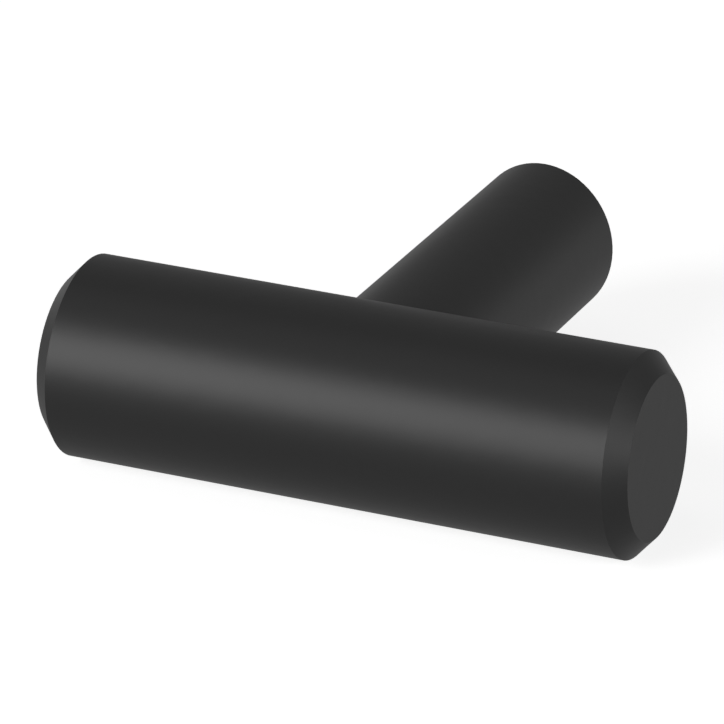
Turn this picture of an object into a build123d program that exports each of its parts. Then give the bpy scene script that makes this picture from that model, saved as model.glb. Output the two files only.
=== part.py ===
from build123d import *
import math
import os

# T handle knob: a round crossbar carried on a round post, drawn together by a stud inside.
# Millimetres. The knob is in the pose it has on an upright drawer front.
# The origin is the centre of the post's mounting face, which lies in the plane y = 0.
# +X runs along the crossbar, +Y runs into the drawer front and +Z is up.

# Crossbar
bar_diameter = 12.0
bar_length = 40.0
bar_end_chamfer = 1.2

# Post, and the whole knob's reach from the mounting face to the front of the bar
post_diameter = 9.8
knob_projection = 35.0

# Blind hole in the mounting face, tapped M4 for the screw that holds the knob
screw_thread_diameter = 4.0
screw_thread_pitch = 0.7
screw_thread_depth = 10.0
screw_drill_run_out = 1.5
screw_countersink_depth = 0.4
screw_countersink_angle = 90.0

# Headless M5 stud that joins the post to the bar, with a hex socket in its back end
stud_thread_diameter = 5.0
stud_thread_pitch = 0.8
stud_length = 12.0
stud_depth_in_bar = 6.5
stud_end_chamfer = 0.6
stud_socket_width = 2.5
stud_socket_depth = 2.5
stud_drill_run_out = 1.0

# Cone that a twist drill leaves at the bottom of a blind hole
drill_point_angle = 118.0

# Clearances: round the stud in its tapped holes, past each of its ends, and under the saddle
stud_thread_clearance = 0.05
stud_end_clearance = 0.5
saddle_clearance = 0.02

# What follows from the sizes: the bar's place, and the saddle that seats on the bar
bar_radius = bar_diameter / 2
bar_axis_y = bar_radius - knob_projection
bar_back_y = bar_axis_y + bar_radius
saddle_radius = bar_radius + saddle_clearance
saddle_floor_y = bar_axis_y + saddle_radius

# The stud's place, and the tapped holes in the bar and in the saddle that take it
stud_front_y = bar_back_y - stud_depth_in_bar
stud_back_y = stud_front_y + stud_length
stud_hole_radius = stud_thread_diameter / 2 + stud_thread_clearance
stud_drill_radius = (stud_thread_diameter - stud_thread_pitch) / 2
stud_hole_in_bar = bar_back_y - stud_front_y + stud_end_clearance
stud_hole_in_post = stud_back_y - saddle_floor_y + stud_end_clearance

# The screw's tapped hole
screw_hole_radius = screw_thread_diameter / 2
screw_drill_radius = (screw_thread_diameter - screw_thread_pitch) / 2
screw_countersink_spread = screw_countersink_depth * math.tan(math.radians(screw_countersink_angle / 2))

# Each plane's x direction points down, so that a turned surface has its seam on the underside.
# Planes across the knob: the mounting face, the bar's back and its axis, all facing the
# drawer, and the saddle's floor, facing the bar
mounting_plane = Plane(origin=(0, 0, 0), x_dir=(0, 0, -1), z_dir=(0, 1, 0))
bar_back_plane = mounting_plane.offset(bar_back_y)
bar_axis_plane = mounting_plane.offset(bar_axis_y)
saddle_plane = Plane(origin=(0, saddle_floor_y, 0), x_dir=(0, 0, -1), z_dir=(0, -1, 0))

# Plane square to the bar's axis, at the middle of the bar
bar_section_plane = Plane(origin=(0, bar_axis_y, 0), x_dir=(0, 0, -1), z_dir=(1, 0, 0))


def drill_blind_hole(mouth, radius, depth):
    """Cuts a drilled hole with its cone-shaped floor. The mouth is a plane facing out of the hole."""
    with Locations(mouth):
        Hole(radius=radius, depth=depth)
    floor = mouth.offset(-depth)
    with Locations(Plane(origin=floor.origin, x_dir=floor.x_dir, z_dir=-floor.z_dir)):
        Cone(
            bottom_radius=radius,
            top_radius=0,
            height=radius / math.tan(math.radians(drill_point_angle / 2)),
            align=(Align.CENTER, Align.CENTER, Align.MIN),
            mode=Mode.SUBTRACT,
        )


def tap_stud_hole(mouth, depth):
    """Cuts a tapped blind hole for the stud: the threaded stretch, then what the drill left below it."""
    with Locations(mouth):
        Hole(radius=stud_hole_radius, depth=depth)
    drill_blind_hole(mouth, stud_drill_radius, depth + stud_drill_run_out)


# Crossbar: a turned rod with both ends chamfered, and the stud's tapped hole in its back
with BuildPart() as bar:
    with BuildSketch(bar_section_plane) as bar_section:
        Circle(radius=bar_radius)
    extrude(amount=bar_length / 2, both=True)
    bar_rims = bar.edges().filter_by(GeomType.CIRCLE)
    chamfer(bar_rims, length=bar_end_chamfer)
    tap_stud_hole(bar_back_plane, stud_hole_in_bar)
bar.part.label = "bar"

# Post: a turned rod, coped at its front end to the bar's curve so that it seats all round
with BuildPart() as post:
    with BuildSketch(bar_axis_plane) as post_section:
        Circle(radius=post_diameter / 2)
    extrude(amount=-bar_axis_y)
    with BuildSketch(bar_section_plane) as saddle_section:
        Circle(radius=saddle_radius)
    extrude(amount=post_diameter, both=True, mode=Mode.SUBTRACT)
    tap_stud_hole(saddle_plane, stud_hole_in_post)

    # The screw's tapped hole, countersunk so that the screw starts easily
    with Locations(mounting_plane):
        CounterSinkHole(
            radius=screw_hole_radius,
            counter_sink_radius=screw_hole_radius + screw_countersink_spread,
            depth=screw_thread_depth,
            counter_sink_angle=screw_countersink_angle,
        )
    drill_blind_hole(mounting_plane, screw_drill_radius, screw_thread_depth + screw_drill_run_out)
post.part.label = "post"

# Joining stud: headless, chamfered at both ends, with the hex socket that drives it
with BuildPart() as joining_stud:
    with BuildSketch(mounting_plane.offset(stud_front_y)) as stud_section:
        Circle(radius=stud_thread_diameter / 2)
    extrude(amount=stud_length)
    stud_rims = joining_stud.edges().filter_by(GeomType.CIRCLE)
    chamfer(stud_rims, length=stud_end_chamfer)
    with BuildSketch(mounting_plane.offset(stud_back_y)) as socket_section:
        RegularPolygon(radius=stud_socket_width / 2, side_count=6, major_radius=False)
    extrude(amount=-stud_socket_depth, mode=Mode.SUBTRACT)
joining_stud.part.label = "joining_stud"

os.makedirs("parts", exist_ok=True)
export_step(bar.part, "parts/bar.step")
export_step(post.part, "parts/post.step")
export_step(joining_stud.part, "parts/joining_stud.step")
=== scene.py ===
# %% [markdown]
# # A matte black T handle knob
#
# A cabinet knob of this kind is two lengths of round steel: a short crossbar that the fingers pull,
# and a post that holds it clear of the drawer front. A stud inside draws the hollowed end of the
# post tight against the bar. Their exact solids are already here as a fixed frame, so this lesson
# gives them their finish, winds the fine threads that the solids leave plain, and lights the whole
# in a small studio. Blender counts in metres, so every size is a number of millimetres times MM.

# %% Open the frame
import math

import bmesh
import bpy
from mathutils import Matrix, Vector


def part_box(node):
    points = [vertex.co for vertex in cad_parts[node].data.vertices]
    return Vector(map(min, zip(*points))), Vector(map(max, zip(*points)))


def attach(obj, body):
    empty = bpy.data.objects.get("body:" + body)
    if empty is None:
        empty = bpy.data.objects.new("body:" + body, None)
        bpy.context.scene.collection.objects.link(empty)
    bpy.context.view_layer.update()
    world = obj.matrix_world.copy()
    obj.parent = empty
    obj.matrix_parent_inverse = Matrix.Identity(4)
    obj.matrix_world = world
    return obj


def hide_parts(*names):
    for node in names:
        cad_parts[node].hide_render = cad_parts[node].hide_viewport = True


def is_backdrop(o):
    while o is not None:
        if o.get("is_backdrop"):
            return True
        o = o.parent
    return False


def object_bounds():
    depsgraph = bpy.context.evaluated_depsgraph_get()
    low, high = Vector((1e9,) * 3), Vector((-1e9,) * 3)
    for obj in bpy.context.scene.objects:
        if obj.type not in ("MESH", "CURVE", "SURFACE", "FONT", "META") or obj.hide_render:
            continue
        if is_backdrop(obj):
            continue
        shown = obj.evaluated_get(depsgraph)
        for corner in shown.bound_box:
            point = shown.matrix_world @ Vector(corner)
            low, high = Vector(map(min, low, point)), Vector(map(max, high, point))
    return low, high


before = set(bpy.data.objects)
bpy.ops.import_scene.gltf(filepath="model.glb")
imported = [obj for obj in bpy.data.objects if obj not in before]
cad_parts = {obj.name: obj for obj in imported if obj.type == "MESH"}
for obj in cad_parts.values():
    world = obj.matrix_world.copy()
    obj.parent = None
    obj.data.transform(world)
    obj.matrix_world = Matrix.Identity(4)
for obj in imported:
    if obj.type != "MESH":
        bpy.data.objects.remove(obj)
cad_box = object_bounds()
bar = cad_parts["bar"]
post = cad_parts["post"]

MM = 0.001
bar_radius = -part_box("bar")[0].z
bar_axis_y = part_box("bar")[1].y - bar_radius
print("solids in the frame:", ", ".join(sorted(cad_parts)))
print(f"bar of radius {bar_radius / MM:.2f} mm, with its axis at y {bar_axis_y / MM:.2f} mm")

# %% [markdown]
# ## Camera
#
# The photograph looks down on the knob from the right front, and yet its upright lines stay
# parallel. A view camera does that: its film stands upright while the line of sight slants down
# across it. A tilted camera would make the uprights meet. A lens shift would keep them parallel
# too, but Blender's other views keep the shift and would be pushed off the knob. So the camera
# hangs on a stand, and the slant is put into the link between the two: the film's right and up
# edges stay where an upright film has them, and only the third axis slants to the knob.

# %% Place the camera
eye = Vector((169.95, -394.41, 165.85)) * MM
picture_middle = Vector((0.20, -29.00, 2.60)) * MM
film_turn = math.radians(23.667)
lens_length = 348.9

line_of_sight = (picture_middle - eye).normalized()
film_right = Vector((math.cos(film_turn), math.sin(film_turn), 0))
film_up = Vector((0, 0, 1))
film = Matrix((film_right, film_up, -line_of_sight)).transposed().to_4x4()
film.translation = eye

camera = bpy.data.objects.new("camera", bpy.data.cameras.new("camera"))
camera.data.lens = lens_length
camera.data.clip_start = 0.01
camera_stand = bpy.data.objects.new("camera_stand", None)
for thing in (camera, camera_stand):
    bpy.context.collection.objects.link(thing)
camera.parent = camera_stand
camera.matrix_parent_inverse = film
bpy.context.scene.camera = camera

standing_off = (picture_middle - eye).length
look_down = math.degrees(math.asin(-line_of_sight.z))
print(f"the camera stands {standing_off / MM:.0f} mm from the bar and looks down {look_down:.1f} degrees")

# %% [markdown]
# ## Colours and nodes
#
# A colour picked on a screen is written in sRGB, which spends most of its steps on the dark end. A
# shader needs the share of light that comes back, so each hex value is turned to linear first:
# #242424 is written as a seventh of white and sends back less than a fiftieth of the light.
# Materials are then wired from nodes, and one helper that adds a node, sets it and feeds its inputs
# keeps that short.

# %% Helpers for colours and nodes
def linear(hex_colour):
    """Turns an sRGB colour such as "#242424" to the linear RGBA that a shader takes."""
    shares = [int(hex_colour[place:place + 2], 16) / 255 for place in (1, 3, 5)]
    return (*[s / 12.92 if s <= 0.04045 else ((s + 0.055) / 1.055) ** 2.4 for s in shares], 1)


def add_node(tree, kind, settings, inputs):
    """Adds a node. An input takes a value, an output of another node, or a node for its first output."""
    node = tree.nodes.new(kind)
    for name, value in settings.items():
        setattr(node, name, value)
    sockets = [socket for socket in node.inputs if socket.enabled]
    for name, value in inputs.items():
        socket = sockets[name] if isinstance(name, int) else next(s for s in sockets if s.name == name)
        if isinstance(value, bpy.types.Node):
            value = next(s for s in value.outputs if s.enabled)
        if isinstance(value, bpy.types.NodeSocket):
            tree.links.new(value, socket)
        else:
            socket.default_value = value
    return node


def cleared_nodes(owner):
    """Turns on the nodes of a material or a world, and empties them."""
    owner.use_nodes = True
    owner.node_tree.nodes.clear()
    return owner.node_tree


print(f"a coat of #242424 sends back {linear('#242424')[0]:.4f} of the light")

# %% [markdown]
# ## Floor and backdrop
#
# The picture's ground is pure white. A room that was white all round would turn a black coat grey,
# because every coat mirrors a few percent of what it faces, and far more at a glancing angle. A
# photographer lights the backdrop by itself and keeps most of that light off the object. Light Path
# does the same here, because it tells what kind a ray is. The camera sees full white. Reflections
# see a quarter of white in the backdrop, and two fifths in the floor, which the lamps reach as well.
# Hardly any of it falls on the knob as light. The floor is pale matt paper, which the lamps light
# and the knob shades. Its glow fills up what they leave short of white, and is weaker round the
# knob, where most of their light falls, so that the shadow shows.

# %% Make the floor and the backdrop
room_light = 0.02
backdrop_in_reflections = 0.26
floor_in_reflections = 0.39
paper_colour = "#e4e4e4"
paper_size = 4.0
glow_at_knob = 0.80
glow_far_off = 1 - room_light * linear(paper_colour)[0]
lamps_reach = 0.40


def ray_kinds(tree):
    """Two outputs: 1 for a ray straight from the camera, and 1 for a reflected or refracted ray."""
    path = add_node(tree, "ShaderNodeLightPath", {}, {})
    bent = add_node(tree, "ShaderNodeMath", {"operation": "MAXIMUM"},
                    {0: path.outputs["Is Glossy Ray"], 1: path.outputs["Is Transmission Ray"]})
    return path.outputs["Is Camera Ray"], bent


backdrop = bpy.data.worlds.new("white_backdrop")
tree = cleared_nodes(backdrop)
straight, bent = ray_kinds(tree)
seen_white = add_node(tree, "ShaderNodeMath", {"operation": "MULTIPLY_ADD"},
                      {0: bent, 1: backdrop_in_reflections, 2: straight})
strength = add_node(tree, "ShaderNodeMath", {"operation": "MULTIPLY_ADD"},
                    {0: seen_white, 1: 1 - room_light, 2: room_light})
air = add_node(tree, "ShaderNodeBackground", {}, {"Color": linear("#ffffff"), "Strength": strength})
add_node(tree, "ShaderNodeOutputWorld", {}, {"Surface": air})
backdrop.cycles.sampling_method = "NONE"
bpy.context.scene.world = backdrop

paper = bpy.data.materials.new("matt_white_paper")
paper.cycles.emission_sampling = "NONE"
tree = cleared_nodes(paper)
lit_paper = add_node(tree, "ShaderNodeBsdfDiffuse", {}, {"Color": linear(paper_colour)})
place = add_node(tree, "ShaderNodeTexCoord", {}, {}).outputs["Object"]
distance = add_node(tree, "ShaderNodeVectorMath", {"operation": "LENGTH"}, {0: place})
missing_light = add_node(tree, "ShaderNodeMapRange", {},
                         {"Value": distance, "From Max": lamps_reach, "To Min": glow_at_knob,
                          "To Max": glow_far_off})
straight, bent = ray_kinds(tree)
glow_strength = add_node(tree, "ShaderNodeMath", {"operation": "MULTIPLY"}, {0: straight, 1: missing_light})
glow = add_node(tree, "ShaderNodeEmission", {}, {"Strength": glow_strength})
lit_and_glowing = add_node(tree, "ShaderNodeAddShader", {}, {0: lit_paper, 1: glow})
even_grey = add_node(tree, "ShaderNodeEmission", {}, {"Strength": floor_in_reflections})
seen_paper = add_node(tree, "ShaderNodeMixShader", {}, {0: bent, 1: lit_and_glowing, 2: even_grey})
add_node(tree, "ShaderNodeOutputMaterial", {}, {"Surface": seen_paper})

bm = bmesh.new()
bmesh.ops.create_grid(bm, x_segments=1, y_segments=1, size=paper_size / 2)
bmesh.ops.translate(bm, verts=bm.verts, vec=(0, 0, -bar_radius))
floor = bpy.data.objects.new("floor", bpy.data.meshes.new("floor"))
bm.to_mesh(floor.data)
bm.free()
floor.data.materials.append(paper)
bpy.context.collection.objects.link(floor)
floor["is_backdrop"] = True
print(f"paper {paper_size} m wide, glowing {glow_at_knob:.2f} at the knob and {glow_far_off:.2f} far off")

# %% [markdown]
# ## Softboxes
#
# A matte black surface is read from the lamps that blur in it: the broad band along the bar is the
# key softbox. So each lamp is placed by where its image falls. The key stands low at the left
# front, which lays its band just above the middle of the bar. A long low strip at the right lights
# the end face and the right side of the post. A weak box overhead and one at the left rear keep the
# top and the back from going flat. None of them shows itself to the camera. The view transform is
# Standard, which shows each colour as it was picked, and white as white.

# %% Hang the softboxes
lamp_distance = 0.9
lamp_aim = Vector((0, bar_axis_y / 2, 0))


def hang_softbox(name, azimuth, elevation, width, height, watts):
    """An area lamp facing the knob. Azimuth 0 is in front of the bar, and 90 off its right end."""
    turn = math.radians(azimuth)
    rise = math.radians(elevation)
    outwards = Vector((math.sin(turn) * math.cos(rise), -math.cos(turn) * math.cos(rise), math.sin(rise)))
    light = bpy.data.lights.new(name, "AREA")
    light.shape = "RECTANGLE"
    light.size = width
    light.size_y = height
    light.energy = watts
    lamp = bpy.data.objects.new(name, light)
    lamp.location = lamp_aim + outwards * lamp_distance
    lamp.rotation_euler = outwards.to_track_quat("Z", "Y").to_euler()
    lamp.visible_camera = False
    bpy.context.collection.objects.link(lamp)
    print(f"{name}: {width} m by {height} m, {watts} W")


# Azimuth and elevation are in degrees, width and height in metres, and the power in watts.
hang_softbox("key_softbox", -30, 19.8, 0.42, 0.61, 4.25)
hang_softbox("low_strip", 89, 12, 1.50, 0.38, 4.0)
hang_softbox("overhead_softbox", -53, 74, 0.55, 0.48, 0.36)
hang_softbox("rear_softbox", -127, 13, 0.43, 0.40, 0.42)
bpy.context.scene.view_settings.view_transform = "Standard"

# %% [markdown]
# ## Machined steel
#
# Where a drill or a tap has cut, the steel is bright and covered with fine rings about the axis of
# the cut. The eye reads them as a soft gleam drawn out along the bore. Noise gives such rings when
# it is fed the distance from the axis and the place along it, and nothing that changes round it.

# %% Machined steel
steel_tones = (linear("#85827d"), linear("#a19e99"))
steel_roughness = (0.28, 0.42)
# A drill leaves rings some 0.02 mm apart. They are drawn wider, so that the bore shows them.
tool_mark_spacing = 0.06 * MM


def radius_about_post(tree, place):
    """How far a point is from the Y axis, the line that the post and all the bores are cut about."""
    across = add_node(tree, "ShaderNodeVectorMath", {"operation": "MULTIPLY"}, {0: place, 1: (1, 0, 1)})
    return add_node(tree, "ShaderNodeVectorMath", {"operation": "LENGTH"}, {0: across})


def cut_steel(tree, place):
    """Colour and roughness of bare steel with rings of tool marks."""
    along = add_node(tree, "ShaderNodeSeparateXYZ", {}, {0: place})
    rings = add_node(tree, "ShaderNodeCombineXYZ", {},
                     {"X": radius_about_post(tree, place), "Y": along.outputs["Y"]})
    marks = add_node(tree, "ShaderNodeTexNoise", {}, {"Vector": rings, "Scale": 1 / tool_mark_spacing})
    colour = add_node(tree, "ShaderNodeMix", {"data_type": "RGBA"},
                      {"Factor": marks, "A": steel_tones[0], "B": steel_tones[1]})
    roughness = add_node(tree, "ShaderNodeMix", {},
                         {"Factor": marks, "A": steel_roughness[0], "B": steel_roughness[1]})
    return colour, roughness


machined_steel = bpy.data.materials.new("machined_steel")
tree = cleared_nodes(machined_steel)
place = add_node(tree, "ShaderNodeTexCoord", {}, {}).outputs["Object"]
steel_colour, steel_rough = cut_steel(tree, place)
shader = add_node(tree, "ShaderNodeBsdfPrincipled", {},
                  {"Base Color": steel_colour, "Metallic": 1.0, "Roughness": steel_rough})
add_node(tree, "ShaderNodeOutputMaterial", {}, {"Surface": shader})
print(f"{machined_steel.name}: rings {tool_mark_spacing / MM:.2f} mm apart")

# %% [markdown]
# ## Powder coat on turned steel
#
# Once it is joined, the knob is sprayed with charged polyester powder and baked, so that the powder
# melts to a film some 70 microns thick. Its matting grain spreads each reflection wide, which is
# what the eye reads as matte: no highlight has an edge. And the melt sets before it has run flat,
# which leaves shallow waves a millimetre or two across and a few microns high, called orange peel.
# A gloss coat would show them as ripples, while a matte one hides all but a trace. The powder
# doesn't get to the stud's holes inside. A rubber plug keeps it out of the screw's hole, and the
# plug's rim leaves a thin bare ring round the mouth.
#
# One shader holds both. A mask made from the distance to the post's axis turns coat to steel, which
# needs no change to the mesh, and noise in Object coordinates fits round every edge without seams.

# %% Powder coat
coat_tones = (linear("#202020"), linear("#242424"))
coat_roughness = (0.43, 0.47)
coat_index = 1.5
orange_peel_width = 1.6 * MM
# Noise keeps to the middle half of its range, so the waves come out half as high as this.
orange_peel_height = 0.012 * MM
# Real matting grain is about 0.03 mm across, too fine for this picture, so it is drawn coarser.
grain_width = 0.14 * MM
grain_height = 0.0012 * MM
# Wide enough for the stud's holes, and deep enough for their drilled end, short of the bar's front.
bare_radius = 2.6 * MM
bare_depth = 33 * MM

powder_coat = bpy.data.materials.new("matte_black_powder_coat")
tree = cleared_nodes(powder_coat)
place = add_node(tree, "ShaderNodeTexCoord", {}, {}).outputs["Object"]
orange_peel = add_node(tree, "ShaderNodeTexNoise", {},
                       {"Vector": place, "Scale": 1 / orange_peel_width, "Detail": 1.0})
grain = add_node(tree, "ShaderNodeTexNoise", {}, {"Vector": place, "Scale": 1 / grain_width})
waves = add_node(tree, "ShaderNodeBump", {}, {"Height": orange_peel, "Distance": orange_peel_height})
relief = add_node(tree, "ShaderNodeBump", {},
                  {"Height": grain, "Distance": grain_height, "Normal": waves})
coat_colour = add_node(tree, "ShaderNodeMix", {"data_type": "RGBA"},
                       {"Factor": grain, "A": coat_tones[0], "B": coat_tones[1]})
coat_rough = add_node(tree, "ShaderNodeMix", {},
                      {"Factor": grain, "A": coat_roughness[0], "B": coat_roughness[1]})

radius = radius_about_post(tree, place)
near_axis = add_node(tree, "ShaderNodeMath", {"operation": "LESS_THAN"}, {0: radius, 1: bare_radius})
along = add_node(tree, "ShaderNodeSeparateXYZ", {}, {0: place})
behind_front = add_node(tree, "ShaderNodeMath", {"operation": "GREATER_THAN"},
                        {0: along.outputs["Y"], 1: -bare_depth})
bare = add_node(tree, "ShaderNodeMath", {"operation": "MULTIPLY"}, {0: near_axis, 1: behind_front})

steel_colour, steel_rough = cut_steel(tree, place)
colour = add_node(tree, "ShaderNodeMix", {"data_type": "RGBA"},
                  {"Factor": bare, "A": coat_colour, "B": steel_colour})
rough = add_node(tree, "ShaderNodeMix", {}, {"Factor": bare, "A": coat_rough, "B": steel_rough})
shader = add_node(tree, "ShaderNodeBsdfPrincipled", {},
                  {"Base Color": colour, "Metallic": bare, "Roughness": rough, "IOR": coat_index,
                   "Normal": relief})
add_node(tree, "ShaderNodeOutputMaterial", {}, {"Surface": shader})
for coated in (bar, post):
    coated.material_slots[0].material = powder_coat
print(f"{powder_coat.name} on {bar.name} and {post.name}, bare within {bare_radius / MM:.2f} mm of the axis")

# %% [markdown]
# ## Threads
#
# Every metric thread is the same 60 degree tooth, wound about an axis so that it moves along by one
# pitch in each turn. The solids leave it out, because hundreds of curved faces would make them slow
# to work with. In Blender a thread could be cut with a boolean, or be a bump map that fails at the
# silhouette. Spin does it directly: it turns a section about an axis, and its dvec moves the section
# on at every step. So the tooth is drawn once, as a section of four corners, and spun.

# %% A helper that winds a tooth
steps_per_turn = 48
flank = math.tan(math.radians(30))
# Widths and depth of a metric thread in pitches: the crest of a screw's tooth, the foot of the
# ridge in a tapped hole, and how deep the groove of a screw is.
crest_width = 1 / 8
ridge_foot = 7 / 8
groove_depth = 0.6134
merge_distance = 0.0001 * MM
sharp_angle = math.radians(25)


def tooth(root_radius, crest_radius, top_width):
    """Corners (radius, place along the axis) of a tooth about 0, from root to crest to root."""
    half_crest = top_width / 2
    half_root = half_crest + abs(crest_radius - root_radius) * flank
    return [(root_radius, -half_root), (crest_radius, -half_crest),
            (crest_radius, half_crest), (root_radius, half_root)]


def wind(section, closed, pitch, first_y, last_y):
    """Spins the section about the Y axis, right-handed, from first_y to last_y. Closed sections get caps."""
    bm = bmesh.new()
    corners = [bm.verts.new((0, first_y + along, radius)) for radius, along in section]
    edges = [bm.edges.new(pair) for pair in zip(corners, corners[1:])]
    if closed:
        edges.append(bm.edges.new((corners[-1], corners[0])))
    steps = round((last_y - first_y) / pitch * steps_per_turn)
    bmesh.ops.spin(bm, geom=corners + edges, cent=(0, 0, 0), axis=(0, 1, 0), steps=steps,
                   angle=steps * math.tau / steps_per_turn, dvec=(0, pitch / steps_per_turn, 0))
    bmesh.ops.remove_doubles(bm, verts=bm.verts, dist=merge_distance)
    if closed:
        bmesh.ops.holes_fill(bm, edges=[edge for edge in bm.edges if edge.is_boundary], sides=len(section))
    return bm


def finished_piece(name, bm, material):
    """Makes the bmesh an object at the origin, smooth but for its sharp edges, that rides on the knob."""
    bmesh.ops.recalc_face_normals(bm, faces=bm.faces)
    for face in bm.faces:
        face.smooth = True
    for edge in bm.edges:
        edge.smooth = edge.calc_face_angle(0) < sharp_angle
    piece = bpy.data.objects.new(name, bpy.data.meshes.new(name))
    print(f"{name}: {len(bm.faces)} faces, {bm.calc_volume() / MM ** 3:.2f} cubic mm, "
          f"{sum(edge.is_boundary for edge in bm.edges)} open edges")
    bm.to_mesh(piece.data)
    bm.free()
    piece.data.materials.append(material)
    bpy.context.collection.objects.link(piece)
    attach(piece, "root")
    return piece


print(f"a tooth is wound in {steps_per_turn} steps a turn")

# %% [markdown]
# ## The screw's thread
#
# The hole in the mounting face is drilled 3.3 mm and tapped M4. A tap cuts grooves outwards into the
# wall, and what stands between them is a ridge. The solid has the hole at the thread's outer
# diameter, so the ridge is all that is missing. Its foot is sunk a little into the wall, its last
# turn runs out below the thread, and where it reaches the countersink it is pushed back onto that
# cone, as the cutter would leave it.

# %% Wind the thread in the screw's hole
screw_radius = 2.0 * MM
screw_pitch = 0.7 * MM
screw_drill_radius = 1.65 * MM
screw_thread_end = -10.0 * MM
countersink_radius = 2.4 * MM
sunk = 0.02 * MM


def inner_tooth(wall_radius, drill_radius, pitch):
    """The ridge between two tapped grooves, from the wall in to the drilled hole's radius."""
    top_width = ridge_foot * pitch - 2 * (wall_radius - drill_radius) * flank
    return tooth(wall_radius + sunk, drill_radius, top_width)


bm = wind(inner_tooth(screw_radius, screw_drill_radius, screw_pitch), True, screw_pitch,
          screw_thread_end - screw_pitch / 2, screw_radius - countersink_radius)
for vert in bm.verts:
    radius = math.hypot(vert.co.x, vert.co.z)
    cone_radius = countersink_radius + vert.co.y + sunk
    if radius < cone_radius:
        vert.co.x *= cone_radius / radius
        vert.co.z *= cone_radius / radius
finished_piece("screw_thread", bm, machined_steel)

# %% [markdown]
# ## The stud's threads
#
# The bar and the post are tapped M5 for the stud that joins them. Nothing of it shows once the knob
# is together, yet it is what holds the knob, so it is made as it is. The ridges in both holes start
# half a pitch from the stud's teeth, so that teeth and ridges mesh as they do on a bench, and each
# of them starts under the end of its thread and stops short of the curved mouth of its hole.

# %% Wind the threads in the bar and the post
stud_pitch = 0.8 * MM
stud_hole_radius = 2.55 * MM
stud_drill_radius = 2.1 * MM
clear_of_mouth = 1.25 * stud_pitch
stud_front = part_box("joining_stud")[0].y
stud_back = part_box("joining_stud")[1].y
bar_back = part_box("bar")[1].y
ridge = inner_tooth(stud_hole_radius, stud_drill_radius, stud_pitch)
first_groove = stud_front + stud_pitch / 2

bm = wind(ridge, True, stud_pitch, first_groove - 2 * stud_pitch, bar_back - clear_of_mouth)
finished_piece("bar_thread", bm, machined_steel)

grooves_in_bar = math.ceil((bar_back - first_groove) / stud_pitch)
bm = wind(ridge, True, stud_pitch, first_groove + grooves_in_bar * stud_pitch, stud_back + stud_pitch)
finished_piece("post_thread", bm, machined_steel)

# %% [markdown]
# ## Black oxide
#
# Socket screws and studs are blackened in a hot salt bath, which turns a thousandth of a millimetre
# of their steel to black iron oxide, and are then oiled. It is still a metal surface, dark grey,
# slightly cloudy where the bath worked unevenly, and satin from the oil.

# %% Black oxide
oxide_tones = (linear("#3b3b3d"), linear("#4c4b4c"))
oxide_roughness = (0.30, 0.45)
cloud_width = 0.7 * MM

black_oxide = bpy.data.materials.new("oiled_black_oxide_steel")
tree = cleared_nodes(black_oxide)
place = add_node(tree, "ShaderNodeTexCoord", {}, {}).outputs["Object"]
clouds = add_node(tree, "ShaderNodeTexNoise", {}, {"Vector": place, "Scale": 1 / cloud_width, "Detail": 4.0})
oxide_colour = add_node(tree, "ShaderNodeMix", {"data_type": "RGBA"},
                        {"Factor": clouds, "A": oxide_tones[0], "B": oxide_tones[1]})
oxide_rough = add_node(tree, "ShaderNodeMix", {},
                       {"Factor": clouds, "A": oxide_roughness[0], "B": oxide_roughness[1]})
shader = add_node(tree, "ShaderNodeBsdfPrincipled", {},
                  {"Base Color": oxide_colour, "Metallic": 1.0, "Roughness": oxide_rough})
add_node(tree, "ShaderNodeOutputMaterial", {}, {"Surface": shader})
print(f"{black_oxide.name}: clouds {cloud_width / MM:.1f} mm wide")

# %% [markdown]
# ## The stud
#
# Spun on its own, a tooth would be a loose spring with no core. Spinning one whole pitch instead,
# the tooth and the root beside it, makes a skin, because each turn ends where the next begins and
# their doubles merge. It is wound too long, cut square at both ends and pushed in to a chamfer.
# The front end is then filled, and the back end bridged to the hexagon socket that drives the stud.

# %% Wind the stud
stud_radius = 2.5 * MM
stud_chamfer = 0.6 * MM
socket_width = 2.5 * MM
socket_depth = 2.5 * MM
stud_root_radius = stud_radius - groove_depth * stud_pitch

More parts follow.
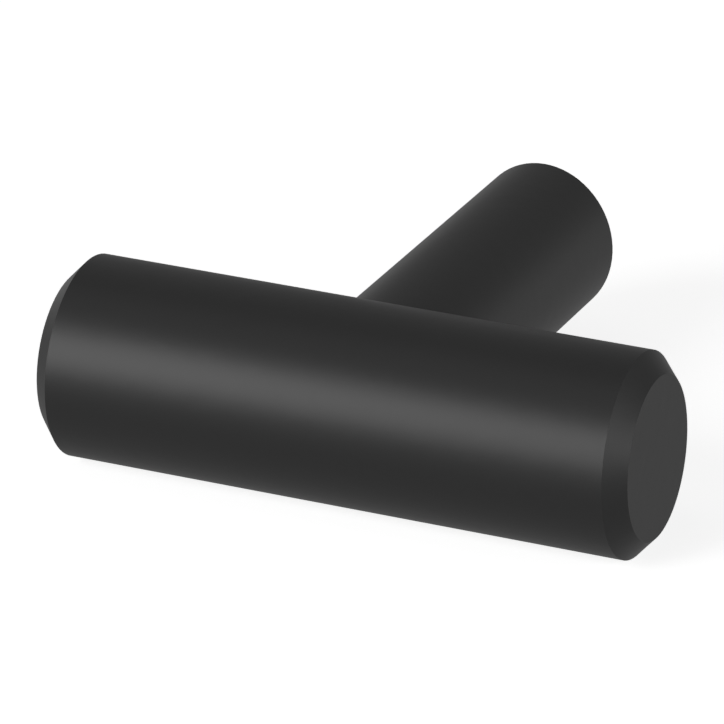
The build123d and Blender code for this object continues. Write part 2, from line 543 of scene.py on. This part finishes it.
section = tooth(stud_root_radius, stud_radius, crest_width * stud_pitch)
next_root = (stud_root_radius, section[0][1] + stud_pitch)
bm = wind(section + [next_root], False, stud_pitch, stud_front - stud_pitch, stud_back + stud_pitch)

for end_y, outwards in ((stud_front, -1), (stud_back, 1)):
    bmesh.ops.bisect_plane(bm, geom=bm.verts[:] + bm.edges[:] + bm.faces[:], clear_outer=True,
                           plane_co=(0, end_y, 0), plane_no=(0, outwards, 0))
for vert in bm.verts:
    from_end = min(vert.co.y - stud_front, stud_back - vert.co.y)
    chamfer_radius = stud_radius - stud_chamfer + from_end
    radius = math.hypot(vert.co.x, vert.co.z)
    if radius > chamfer_radius:
        vert.co.x *= chamfer_radius / radius
        vert.co.z *= chamfer_radius / radius

middle = (stud_front + stud_back) / 2
rim = [edge for edge in bm.edges if edge.is_boundary]
front_rim = [edge for edge in rim if edge.verts[0].co.y < middle]
back_rim = [edge for edge in rim if edge.verts[0].co.y > middle]
bmesh.ops.holes_fill(bm, edges=front_rim, sides=len(front_rim))

corner_radius = socket_width / 2 / math.cos(math.radians(30))
facing_back = Matrix.Translation((0, stud_back, 0)) @ Matrix.Rotation(math.radians(90), 4, "X")
hexagon = bmesh.ops.create_circle(bm, segments=6, radius=corner_radius, matrix=facing_back)
mouth = list({edge for vert in hexagon["verts"] for edge in vert.link_edges})
bmesh.ops.bridge_loops(bm, edges=back_rim + mouth)
walls = bmesh.ops.extrude_edge_only(bm, edges=mouth)["geom"]
floor_verts = [item for item in walls if isinstance(item, bmesh.types.BMVert)]
bmesh.ops.translate(bm, verts=floor_verts, vec=(0, -socket_depth, 0))
bmesh.ops.contextual_create(bm, geom=floor_verts)

threaded_stud = finished_piece("threaded_stud", bm, black_oxide)
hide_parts("joining_stud")

# %% [markdown]
# ## Sizes
#
# The dressed knob has to be as large as its solids.

# %% Write down the sizes and finish
visual_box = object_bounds()
for name, box in (("solids", cad_box), ("dressed knob", visual_box)):
    print(f"{name}:", " by ".join(f"{side / MM:.2f}" for side in box[1] - box[0]), "mm")
